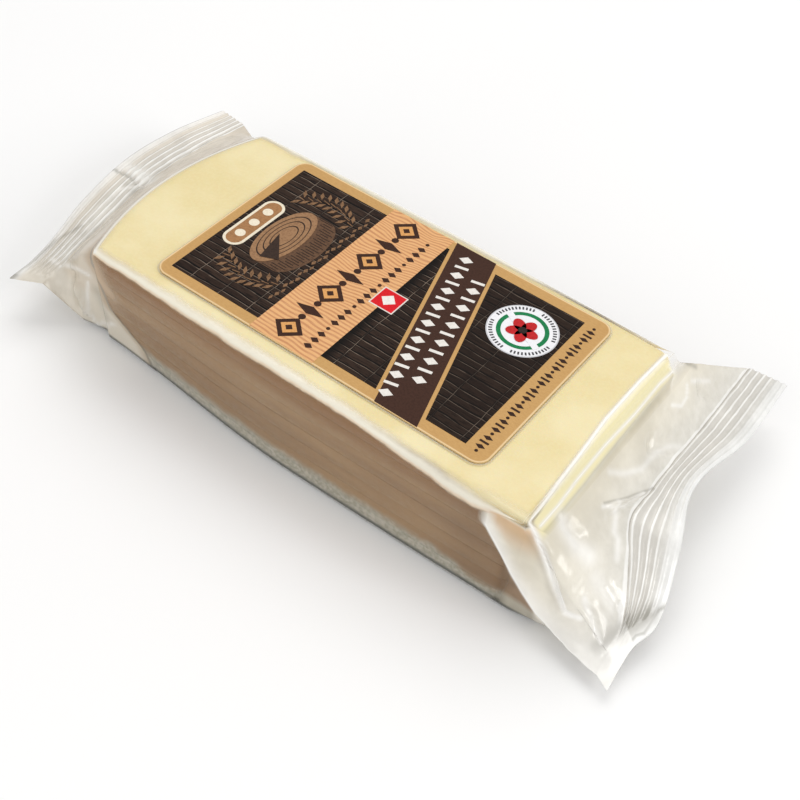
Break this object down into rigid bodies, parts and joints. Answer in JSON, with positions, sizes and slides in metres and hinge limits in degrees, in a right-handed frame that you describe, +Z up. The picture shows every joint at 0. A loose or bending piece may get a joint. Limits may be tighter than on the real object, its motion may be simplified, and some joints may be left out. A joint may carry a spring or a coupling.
{
  "type": "film-sealed pack of raclette cheese slices",
  "caption": "Rectangular block of sliced raclette cheese sealed in a clear film pack with crimped fins at both ends and a printed label on top, lying flat.",
  "frame": {"origin": "middle of the flat underside of the block, on the surface that the pack lies on", "axes": "+X along the pack towards the end whose front seal corner is folded down, +Y across it to the back, +Z up out of the label"},
  "size_m": [0.2259, 0.1178, 0.0387],
  "materials": {
    "cheese": "pale yellow pressed cheese with a brown rind on its two long sides, seen through clear film",
    "label_paper": "satin printed paper in tan, wood grain and dark brown",
    "film": "clear glossy packing film, creased and crimped white at the end seals"
  },
  "bodies": {
    "root": {"pack": "cheese", "label": "label_paper"}
  },
  "joints": []
}
